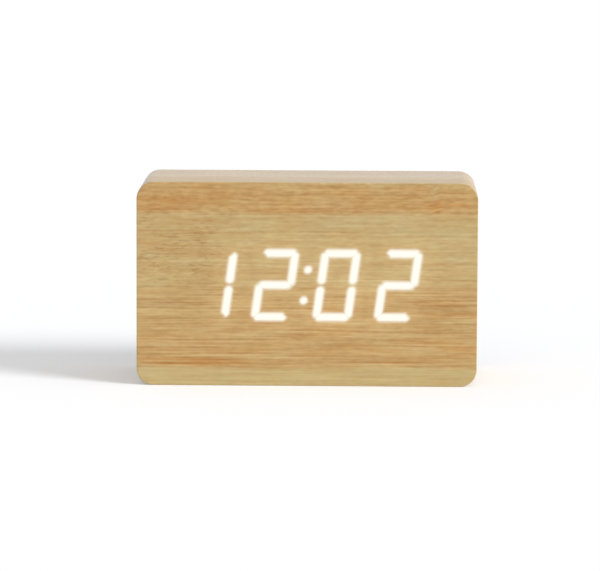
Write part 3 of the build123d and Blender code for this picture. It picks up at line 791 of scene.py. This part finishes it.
@dataclass(frozen=True)
class CellSleeve(Finish):
    """Printed sleeve of a cell: a slate body, a pale band at the plus end and a plain plus sign.

    The place and the direction of the plus end are along X, and the axis is a place along Y and Z, in
    millimetres.
    """

    name: str
    plus_end: float
    inwards: float
    axis: Pair
    band: float = 9.0
    band_blur: float = 0.08
    ring_gap: float = 1.1
    ring_span: Pair = (0.4, 0.3)
    sign_place: float = 5.4
    sign_reach: float = 1.5
    sign_stroke: float = 0.32
    sign_blur: float = 0.05
    side_blur: float = 0.1
    wear_size: float = 2.0
    wear_span: Pair = (0.62, 0.8)
    wear_share: float = 0.25
    roughness: float = 0.25
    wear_roughness: float = 0.2
    depth: float = 0.01 * MM
    body: Shade = (92, 116, 122)
    end_band: Shade = (206, 208, 200)
    sign: Shade = (40, 52, 58)

    def bar(self, aside: Value, ahead: Value) -> Value:
        """Gives 1 inside one bar of the sign, from how far a place lies beside its middle and along it."""
        within = aside.rise(self.sign_stroke + self.sign_blur, self.sign_stroke)
        return within * ahead.rise(self.sign_reach, self.sign_reach - self.sign_blur)

    def sockets(self, shader: Shader) -> dict[str, Any]:
        """Gives the sleeve's bands and its sign."""
        across, back, up = shader.place()
        along = (across - self.plus_end) * self.inwards
        wear = shader.even_noise((across, back, up), self.wear_size, detail=4.0)
        band = along.rise(self.band + self.band_blur, self.band - self.band_blur)
        ring = abs(along - self.band - self.ring_gap).rise(*self.ring_span)
        off_along = abs(along - self.sign_place)
        off_up = abs(up - self.axis[1])
        outer_side = back.rise(self.axis[0], self.axis[0] + self.side_blur)
        sign = self.bar(off_along, off_up).most(self.bar(off_up, off_along)) * outer_side
        coat = shader.mix(shader.mix(self.body, self.end_band, band.most(ring)), self.sign, sign)
        return {
            "Base Color": shader.mix(coat, self.body, wear.rise(*self.wear_span) * self.wear_share),
            "Roughness": self.roughness + wear * self.wear_roughness,
            "Normal": shader.bump(wear, self.depth),
        }


FRONT_FILM = BambooFilm(
    name="front_film",
    run=GrainRun.ALONG_FRONT,
    width=60.0,
    strips=(
        Strip(0.0, 0.0, 0.48, 0.0, 0.35),
        Strip(4.9, 0.0, 0.48, 0.0, 0.35),
        Strip(5.6, 0.44, 0.9, 0.0, 0.64),
        Strip(9.0, 0.54, 1.0, 0.0, 0.64),
        Strip(16.0, 0.46, 0.95, 0.0, 0.64),
        Strip(21.0, 0.46, 1.0, 0.0, 0.64),
        Strip(25.0, 0.44, 1.0, 0.0, 0.64),
        Strip(28.5, 0.36, 0.85, 0.3, 0.64),
        Strip(30.5, 0.25, 0.62, 0.9, 0.65),
        Strip(36.0, 0.25, 0.5, 1.0, 0.65),
        Strip(43.0, 0.16, 0.42, 1.0, 0.62),
        Strip(50.2, 0.14, 0.42, 0.9, 0.62),
        Strip(51.2, 0.5, 0.64, 0.6, 0.95),
        Strip(53.0, 0.66, 0.64, 0.5, 1.0),
        Strip(58.0, 0.6, 0.64, 0.5, 1.0),
        Strip(60.0, 0.44, 0.64, 0.3, 1.0),
    ),
    streaks=(
        Streak(-34.0, 7.2, 21.0, 1.5, 0.75),
        Streak(-38.0, 45.0, 22.0, 9.0, 0.28),
        Streak(40.0, 21.0, 14.0, 1.4, 0.48),
        Streak(39.0, 24.6, 12.0, 1.3, 0.48),
        Streak(-4.0, 51.9, 17.0, 0.7, 0.5),
        Streak(29.0, 58.2, 9.0, 0.7, 0.6),
        Streak(29.0, 52.4, 9.0, 0.7, 0.6),
        Streak(-41.0, 54.5, 20.0, 3.2, 0.3),
        Streak(8.0, 22.6, 9.0, 1.1, 0.5),
        Streak(7.0, 24.4, 12.0, 3.6, 0.26),
        Streak(2.0, 28.1, 16.0, 0.9, 0.35),
        Streak(-40.0, 28.2, 9.0, 0.8, 0.3),
        Streak(7.0, 16.6, 16.0, 2.2, 0.28),
        Streak(38.0, 12.3, 17.0, 1.6, 0.45),
        Streak(44.0, 11.0, 8.0, 0.5, 0.4),
        Streak(20.0, 7.1, 24.0, 0.6, 0.25),
        Streak(37.2, 57.8, 1.6, 1.1, -0.6),
        Streak(37.5, 52.8, 2.4, 1.9, 0.75),
        Streak(38.2, 51.7, 1.1, 0.5, 2.0),
        Streak(30.0, 55.9, 6.0, 0.5, 0.4),
        Streak(44.0, 56.2, 5.5, 0.45, 0.6),
        Streak(44.5, 53.0, 5.5, 0.45, 0.6),
    ),
    fleck_fade=(-14.0, -32.0),
    knuckle=(37.8, 50.6),
    glows=True,
)

WRAP_FILM = BambooFilm(
    name="wrap_film",
    run=GrainRun.ROUND_CASE,
    width=40.0,
    pale=(198, 181, 132),
    warm=(190, 143, 86),
    roughness=0.22,
    strips=(
        Strip(0.0, 0.28, 0.5, 0.4, 0.4),
        Strip(7.0, 0.24, 0.5, 0.4, 0.4),
        Strip(7.6, 0.5, 0.65, 0.0, 0.4),
        Strip(15.0, 0.56, 0.7, 0.0, 0.4),
        Strip(18.5, 0.46, 0.65, 0.0, 0.4),
        Strip(19.1, 0.16, 0.45, 0.7, 0.4),
        Strip(29.0, 0.22, 0.45, 0.7, 0.4),
        Strip(29.6, 0.46, 0.65, 0.0, 0.4),
        Strip(40.0, 0.38, 0.65, 0.0, 0.4),
    ),
)

CAD_FINISHES: dict[str, Finish] = {
    "wood_sheet": FRONT_FILM,
    "lit_sheet": LitFilm(),
    "fibreboard": Fibreboard(),
    "black_plastic": Moulded("spark_textured_plastic", (38, 38, 40), (48, 48, 50), 0.55, 0.22, 0.012 * MM),
    "button_plastic": Moulded("button_plastic", (52, 52, 54), (60, 60, 62), 0.36, 0.3),
    "white_plastic": Moulded("white_plastic", (226, 225, 220), (214, 212, 204), 0.4),
    "chip_plastic": Moulded("chip_epoxy", (34, 34, 36), (44, 44, 46), 0.6, 0.15),
    "led_chip": Moulded("phosphor", (240, 226, 138), (232, 214, 110), 0.35, 0.2),
    "guide_resin": Moulded("diffusing_resin", (236, 236, 230), (226, 226, 218), 0.3, 0.5, 0.004 * MM, 0.35),
    "circuit_board": SolderMask(),
    "screw_steel": Plated("zinc_plate", (190, 190, 192), (128, 128, 130), 0.3),
    "contact_steel": Plated("nickel_plate", (214, 211, 203), (160, 156, 146), 0.22),
    "capacitor_can": Moulded("shrunk_sleeve", (52, 58, 92), (44, 48, 78), 0.32, 0.6),
    "cell_jacket": Plated("cell_steel", (206, 204, 198), (150, 148, 142), 0.24),
    "red_wire": Moulded("red_insulation", (178, 34, 32), (160, 28, 28), 0.4, 0.5),
    "black_wire": Moulded("black_insulation", (34, 34, 34), (44, 44, 44), 0.4, 0.5),
    "grey_wire": Moulded("grey_insulation", (168, 168, 172), (152, 152, 156), 0.42, 0.5),
}


def add_piece(
    name: str,
    body: str,
    made: bmesh.types.BMesh,
    materials: Iterable[bpy.types.Material],
    replaced: Iterable[str] = (),
) -> None:
    """Turns a finished bmesh into a piece that rides on a body.

    Args:
        name: The piece's name.
        body: The body that it moves with.
        made: The mesh, which is freed.
        materials: Its materials, in the order of its faces' numbers.
        replaced: The solids that it stands for.
    """
    mesh = bpy.data.meshes.new(name)
    made.to_mesh(mesh)
    made.free()
    mesh.shade_smooth()
    mesh.set_sharp_from_angle(angle=SHARP_ANGLE)
    for material in materials:
        mesh.materials.append(material)
    piece = bpy.data.objects.new(name, mesh)
    bpy.context.scene.collection.objects.link(piece)
    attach(piece, body)
    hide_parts(*replaced)
    LOG.info("%s: %d faces, rides on %s", name, len(mesh.polygons), body)


def merged_copy(node: str) -> bmesh.types.BMesh:
    """Copies a solid as whole faces instead of loose triangles.

    Args:
        node: The solid's name.

    Returns:
        The copy.
    """
    made = bmesh.new()
    made.from_mesh(frame["nodes"][node].data)
    bmesh.ops.remove_doubles(made, verts=made.verts[:], dist=WELD)
    bmesh.ops.dissolve_limit(made, angle_limit=FLAT_ANGLE, verts=made.verts[:], edges=made.edges[:])
    return made


def round_edges(
    made: bmesh.types.BMesh, edges: Iterable[bmesh.types.BMEdge], width: float, segments: int
) -> None:
    """Rounds edges off.

    Args:
        made: The mesh.
        edges: The edges to round.
        width: How far the rounding reaches into the faces.
        segments: How many faces make the rounding.
    """
    bmesh.ops.bevel(
        made,
        geom=list(edges),
        offset=width,
        offset_type="OFFSET",
        segments=segments,
        profile=0.5,
        affect="EDGES",
        clamp_overlap=True,
        material=-1,
    )


def push_back(made: bmesh.types.BMesh, depth: float) -> None:
    """Makes flat faces solid.

    Args:
        made: The mesh that they are drawn in.
        depth: How far they are pushed towards the rear.
    """
    grown = bmesh.ops.extrude_face_region(made, geom=made.faces[:])
    far = [part for part in grown["geom"] if isinstance(part, bmesh.types.BMVert)]
    bmesh.ops.translate(made, verts=far, vec=(0.0, depth, 0.0))
    bmesh.ops.recalc_face_normals(made, faces=made.faces[:])


@dataclass
class WoodCase:
    """The wood-grain sheet round the case, which butts under the base and meets the front sheet."""

    RUN_NAME = "grain_run"
    thickness: float = 0.4 * MM
    corner: float = 5.0 * MM
    corner_segments: int = 20
    seam: float = 0.2 * MM
    joint_round: float = 0.06 * MM
    rear_round: float = 0.14 * MM
    round_segments: int = 3
    wall_tilt: float = 0.5

    def outline(self, made: bmesh.types.BMesh) -> bmesh.types.BMFace:
        """Draws the case's rounded outline at the sheet's front end, with the seam as an edge of its own.

        Args:
            made: The mesh to draw in.

        Returns:
            The outline as one face, whose points carry their run from the seam.
        """
        low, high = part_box("case_wrap")
        run = made.verts.layers.float.new(self.RUN_NAME)
        half = self.seam / 2
        left, right, base, top = low.x, high.x, low.z, high.z
        corners = [(half, base), (right, base), (right, top), (left, top), (left, base), (-half, base)]
        points = [made.verts.new((x, low.y, z)) for x, z in corners]
        made.faces.new(points)
        bmesh.ops.bevel(
            made,
            geom=points[1:5],
            offset=self.corner,
            offset_type="OFFSET",
            segments=self.corner_segments,
            profile=0.5,
            affect="VERTICES",
            material=-1,
        )
        made.faces.ensure_lookup_table()
        face = made.faces[0]
        loops = list(face.loops)
        start = next(index for index, loop in enumerate(loops) if loop.vert == points[0])
        travelled = 0.0
        for loop in loops[start:] + loops[:start]:
            loop.vert[run] = travelled
            travelled += loop.edge.calc_length()
        return face

    def build(self) -> None:
        """Bends the sheet round the case and dresses it."""
        low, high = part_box("case_wrap")
        made = bmesh.new()
        face = self.outline(made)
        ring = bmesh.ops.inset_region(
            made, faces=[face], thickness=self.thickness, use_even_offset=True, use_boundary=True
        )
        gap = [part for part in ring["faces"] if all(abs(vert.co.x) < self.seam for vert in part.verts)]
        bmesh.ops.delete(made, geom=[face, *gap], context="FACES")
        push_back(made, high.y - low.y)
        for end, width in ((low.y, self.joint_round), (high.y, self.rear_round)):
            round_edges(made, self.outer_edges(made, end), width, self.round_segments)
        add_piece("wood_wrap", "clock", made, [WRAP_FILM.material()], ["case_wrap"])

    def outer_edges(self, made: bmesh.types.BMesh, end: float) -> list[bmesh.types.BMEdge]:
        """Finds the outer edges of one end of the sheet.

        Args:
            made: The mesh.
            end: Where that end lies along Y.

        Returns:
            The edges that lie on the case's outside.
        """
        found = []
        for edge in made.edges:
            at_end = all(abs(vert.co.y - end) < WELD for vert in edge.verts)
            if at_end and any(self.is_outer_wall(face) for face in edge.link_faces):
                found.append(edge)
        return found

    def is_outer_wall(self, face: bmesh.types.BMFace) -> bool:
        """Tells whether a face is a wall of the sheet that looks away from the case's middle."""
        outwards = face.calc_center_median() - (CAD_BOX[0] + CAD_BOX[1]) / 2
        return abs(face.normal.y) < self.wall_tilt and face.normal.dot(outwards) > 0


@dataclass
class MouldedRear:
    """The rear cover and what is fitted to it: the battery door, the buttons and the screws."""

    edge: float = 0.16 * MM
    button_edge: float = 0.22 * MM
    screw_edge: float = 0.1 * MM
    segments: int = 2
    sharp: float = math.radians(40)

    def softened(self, node: str, body: str, slot: str, width: float) -> None:
        """Makes a piece from a solid, with its moulded edges rounded off.

        Args:
            node: The solid's name.
            body: The body that it moves with.
            slot: The record's material slot of its finish.
            width: How far the roundings reach.
        """
        made = merged_copy(node)
        edges = [edge for edge in made.edges if edge.calc_face_angle(0.0) > self.sharp]
        round_edges(made, edges, width, self.segments)
        material = CAD_FINISHES[slot].material()
        add_piece(f"{node}_moulding", body, made, [material], [node])

    def build(self) -> None:
        """Makes the moulded pieces."""
        self.softened("rear_cover", "clock", "black_plastic", self.edge)
        self.softened("battery_door", "battery_door", "black_plastic", self.edge)
        self.softened("cover_screws", "clock", "screw_steel", self.screw_edge)
        for button in ("up_button", "set_button", "down_button"):
            self.softened(button, button, "button_plastic", self.button_edge)


@dataclass
class RearMarks:
    """The symbols printed by the buttons and the power socket, and the arrow on the battery door."""

    ink: float = 0.03 * MM
    sunk: float = 0.02 * MM
    beside: float = 6.1 * MM
    radius: float = 1.3 * MM
    ring_segments: int = 48
    stroke: float = 0.28 * MM
    minute_rise: float = 0.32 * MM
    minute_length: float = 0.92 * MM
    hour_shift: float = -0.4 * MM
    hour_length: float = 0.52 * MM
    above_socket: float = 4.1 * MM
    bar_length: float = 3.4 * MM
    dash_length: float = 0.85 * MM
    dash_pitch: float = 1.275 * MM
    dash_drop: float = 0.8 * MM
    arrow_place: float = 12.0 * MM
    arrow_radius: float = 2.3 * MM
    arrow_relief: float = 0.3 * MM
    arrow_edge: float = 0.08 * MM
    arrow_segments: int = 2
    sharp: float = math.radians(57)

    @staticmethod
    def facing_rear(spot: Vector) -> Matrix:
        """Gives the place and the turn of a flat shape that faces the rear."""
        return Matrix.Translation(spot) @ Matrix.Rotation(QUARTER_TURN, 4, "X")

    def plate(self, made: bmesh.types.BMesh, spot: Vector, width: float, height: float) -> None:
        """Draws a flat rectangle round a spot, facing the rear."""
        shape = self.facing_rear(spot) @ Matrix.Diagonal((width, height, 1.0, 1.0))
        bmesh.ops.create_grid(made, x_segments=1, y_segments=1, size=0.5, matrix=shape)

    def triangle(self, made: bmesh.types.BMesh, spot: Vector, radius: float, turn: float) -> None:
        """Draws a flat triangle round a spot, facing the rear and turned from pointing up."""
        shape = self.facing_rear(spot) @ Matrix.Rotation(turn, 4, "Z")
        bmesh.ops.create_circle(made, cap_ends=True, radius=radius, segments=3, matrix=shape)

    def dial(self, made: bmesh.types.BMesh, spot: Vector) -> None:
        """Draws a ring with two hands.

        Args:
            made: The mesh to draw in.
            spot: Its middle.
        """
        known = set(made.faces)
        shape = self.facing_rear(spot)
        bmesh.ops.create_circle(
            made, cap_ends=True, radius=self.radius, segments=self.ring_segments, matrix=shape
        )
        disc = [face for face in made.faces if face not in known]
        bmesh.ops.inset_region(
            made, faces=disc, thickness=self.stroke, use_even_offset=True, use_boundary=True
        )
        bmesh.ops.delete(made, geom=disc, context="FACES")
        self.plate(made, spot + Vector((0.0, 0.0, self.minute_rise)), self.stroke, self.minute_length)
        self.plate(made, spot + Vector((self.hour_shift, 0.0, 0.0)), self.hour_length, self.stroke)

    def prints(self) -> None:
        """Prints the symbols on the rear cover."""
        made = bmesh.new()
        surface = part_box("rear_cover")[1].y - self.sunk
        for node, turn in (("up_button", 0.0), ("down_button", math.pi)):
            self.triangle(made, self.spot_by(node, surface, -self.beside, 0.0), self.radius, turn)
        self.dial(made, self.spot_by("set_button", surface, -self.beside, 0.0))
        middle = self.spot_by("socket_shell", surface, 0.0, self.above_socket)
        self.plate(made, middle, self.bar_length, self.stroke)
        for step in (-1, 0, 1):
            shift = Vector((step * self.dash_pitch, 0.0, -self.dash_drop))
            self.plate(made, middle + shift, self.dash_length, self.stroke)
        push_back(made, self.sunk + self.ink)
        add_piece("rear_prints", "clock", made, [CAD_FINISHES["white_plastic"].material()])

    @staticmethod
    def spot_by(node: str, surface: float, across: float, up: float) -> Vector:
        """Gives a place on a surface along Y, so far across and up from the middle of a solid."""
        low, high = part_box(node)
        return Vector(((low.x + high.x) / 2 + across, surface, (low.z + high.z) / 2 + up))

    def arrow(self) -> None:
        """Moulds the arrow that points to the battery door's opening edge."""
        made = bmesh.new()
        low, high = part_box("battery_door")
        spot = Vector((low.x + self.arrow_place, high.y - self.sunk, (low.z + high.z) / 2))
        self.triangle(made, spot, self.arrow_radius, QUARTER_TURN)
        push_back(made, self.sunk + self.arrow_relief)
        edges = [edge for edge in made.edges if edge.calc_face_angle(0.0) > self.sharp]
        round_edges(made, edges, self.arrow_edge, self.arrow_segments)
        material = CAD_FINISHES["black_plastic"].material()
        add_piece("door_arrow", "battery_door", made, [material])

    def build(self) -> None:
        """Makes the prints and the arrow."""
        self.prints()
        self.arrow()


@dataclass
class Cells:
    """The three cells, each a steel can in a printed sleeve."""

    steps: int = 64
    nub_radius: float = 1.9 * MM
    nub_length: float = 1.0 * MM
    shoulder: float = 4.3 * MM
    lip: float = 0.25 * MM
    edge: float = 0.35 * MM
    base_radius: float = 4.2 * MM
    base_rise: float = 0.2 * MM

    def profile(self, length: float, radius: float) -> list[Pair]:
        """Gives the half outline of a cell.

        Args:
            length: The cell's length with its nub.
            radius: The sleeve's radius.

        Returns:
            Pairs of a distance from the plus end and a radius.
        """
        top = self.nub_length - self.lip
        foot = length - self.base_rise
        return [
            (0.0, 0.0),
            (0.0, self.nub_radius - self.lip),
            (self.lip, self.nub_radius),
            (self.nub_length, self.nub_radius),
            (self.nub_length, self.shoulder),
            (top, self.shoulder + self.lip),
            (top, radius - self.edge),
            (top + self.edge, radius),
            (foot - self.edge, radius),
            (foot, radius - self.edge),
            (foot, self.base_radius),
            (length, self.base_radius - self.lip),
            (length, 0.0),
        ]

    def cell(self, node: str, plus_side: int) -> None:
        """Spins one cell and dresses it.

        Args:
            node: The solid that it stands for.
            plus_side: 1 where the plus end points to +X, and -1 where it points to -X.
        """
        low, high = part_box(node)
        centre = (low + high) / 2
        plus_end = high.x if plus_side > 0 else low.x
        radius = (high.z - low.z) / 2
        made = bmesh.new()
        points = []
        for distance, out in self.profile(high.x - low.x, radius):
            points.append(made.verts.new((plus_end - plus_side * distance, centre.y, centre.z + out)))
        edges = [made.edges.new(pair) for pair in zip(points, points[1:])]
        bmesh.ops.spin(
            made,
            geom=points + edges,
            cent=centre,
            axis=(1.0, 0.0, 0.0),
            dvec=(0.0, 0.0, 0.0),
            angle=math.tau,
            steps=self.steps,
            use_merge=True,
        )
        bmesh.ops.remove_doubles(made, verts=made.verts[:], dist=WELD)
        bmesh.ops.recalc_face_normals(made, faces=made.faces[:])
        for face in made.faces:
            spot = face.calc_center_median() - centre
            face.material_index = int(Vector((spot.y, spot.z)).length < self.shoulder + self.lip / 2)
        sleeve = CellSleeve(
            f"{node}_sleeve", plus_end * PER_MM, -float(plus_side), (centre.y * PER_MM, centre.z * PER_MM)
        )
        steel = CAD_FINISHES["cell_jacket"].material()
        add_piece(f"{node}_in_sleeve", "clock", made, [sleeve.material(), steel], [node])

    def build(self) -> None:
        """Makes the cells, which lie head to tail."""
        for node, plus_side in (("cell_1", -1), ("cell_2", 1), ("cell_3", -1)):
            self.cell(node, plus_side)


@dataclass
class CarriedSolids:
    """The solids whose shape is already right, which get their finish here."""

    def build(self) -> None:
        """Dresses every solid that still shows by its slot in the record."""
        materials: dict[str, bpy.types.Material] = {}
        for entry in frame["record"]["subparts"]:
            node, slot = entry["node"], entry["material_slot"]
            solid = frame["nodes"][node]
            if solid.hide_render:
                continue
            if slot not in materials:
                materials[slot] = CAD_FINISHES[slot].material()
            solid.data.materials.clear()
            solid.data.materials.append(materials[slot])
            LOG.info("%s: finished as %s", node, materials[slot].name)


@dataclass(frozen=True)
class Studio:
    """White floor, soft key light from the right, pale surroundings and the photograph's camera."""

    floor_size: float = 8.0
    floor_drop: float = 0.02 * MM
    floor_tone: Colour = (0.855, 0.86, 0.88, 1.0)
    floor_lift: float = 0.2
    ambient: float = 0.56
    key_strength: float = 2.3
    key_softness: float = math.radians(24)
    key_turn: float = math.radians(31)
    key_rise: float = math.radians(31)
    camera_place: tuple[float, float, float] = (18.89 * MM, -1191.67 * MM, 171.46 * MM)
    camera_turn: float = math.radians(1.022)
    camera_tilt: float = math.radians(6.895)
    camera_roll: float = math.radians(0.242)
    focal_pixels: float = 4025.8
    image_width: float = 600.0
    sensor_width: float = 36.0

    @staticmethod
    def seen(shader: Shader) -> Value:
        """Gives 1 on rays that the camera, gloss or glass sends out, and 0 on the rest."""
        rays = shader.node("ShaderNodeLightPath").outputs
        seen = Value(shader, rays["Is Camera Ray"])
        for name in ("Is Glossy Ray", "Is Transmission Ray"):
            seen = seen.most(Value(shader, rays[name]))
        return seen

    def floor(self) -> None:
        """Lays the floor, which keeps the object's shadow."""
        made = bmesh.new()
        bmesh.ops.create_grid(made, x_segments=1, y_segments=1, size=self.floor_size)
        bmesh.ops.translate(made, verts=made.verts[:], vec=(0.0, 0.0, -self.floor_drop))
        mesh = bpy.data.meshes.new("floor")
        made.to_mesh(mesh)
        made.free()
        material = bpy.data.materials.new("white_floor")
        material.use_nodes = True
        shader = Shader(material.node_tree)
        surface = material.node_tree.nodes["Principled BSDF"].inputs
        shader.feed(surface["Base Color"], self.floor_tone)
        shader.feed(surface["Roughness"], 1.0)
        shader.feed(surface["Specular IOR Level"], 0.0)
        shader.feed(surface["Emission Color"], self.seen(shader) * self.floor_lift)
        shader.feed(surface["Emission Strength"], 1.0)
        mesh.materials.append(material)
        plane = bpy.data.objects.new("floor", mesh)
        bpy.context.scene.collection.objects.link(plane)

    def light(self) -> None:
        """Sets the surroundings and the key light."""
        world = bpy.data.worlds.new("pale_surroundings")
        world.use_nodes = True
        bpy.context.scene.world = world
        shader = Shader(world.node_tree)
        background = world.node_tree.nodes["Background"].inputs
        shader.feed(background["Color"], WHITE)
        shader.feed(background["Strength"], self.ambient + self.seen(shader) * (1.0 - self.ambient))
        lamp = bpy.data.lights.new("key", "SUN")
        lamp.energy = self.key_strength
        lamp.angle = self.key_softness
        key = bpy.data.objects.new("key", lamp)
        level = math.cos(self.key_rise)
        towards = Vector(
            (level * math.cos(self.key_turn), -level * math.sin(self.key_turn), math.sin(self.key_rise))
        )
        key.rotation_euler = towards.to_track_quat("Z", "Y").to_euler()
        bpy.context.scene.collection.objects.link(key)

    def camera(self) -> None:
        """Sets the camera where the photograph was taken from."""
        lens = bpy.data.cameras.new("photo_camera")
        lens.sensor_width = self.sensor_width
        lens.lens = self.focal_pixels * self.sensor_width / self.image_width
        camera = bpy.data.objects.new("photo_camera", lens)
        aim = (
            Matrix.Rotation(self.camera_turn, 4, "Z")
            @ Matrix.Rotation(QUARTER_TURN - self.camera_tilt, 4, "X")
            @ Matrix.Rotation(self.camera_roll, 4, "Z")
        )
        camera.matrix_world = Matrix.Translation(self.camera_place) @ aim
        bpy.context.scene.collection.objects.link(camera)
        bpy.context.scene.camera = camera

    def build(self) -> None:
        """Sets the stage."""
        self.floor()
        self.light()
        self.camera()
        bpy.context.scene.view_settings.view_transform = "Standard"


def main() -> None:
    """Builds the clock's looks in order."""
    logging.basicConfig(level=logging.INFO, format="%(message)s")
    for assembly in (WoodCase(), MouldedRear(), RearMarks(), Cells(), CarriedSolids(), Studio()):
        assembly.build()
        LOG.info("%s is done", type(assembly).__name__)


if __name__ == "__main__":
    main()
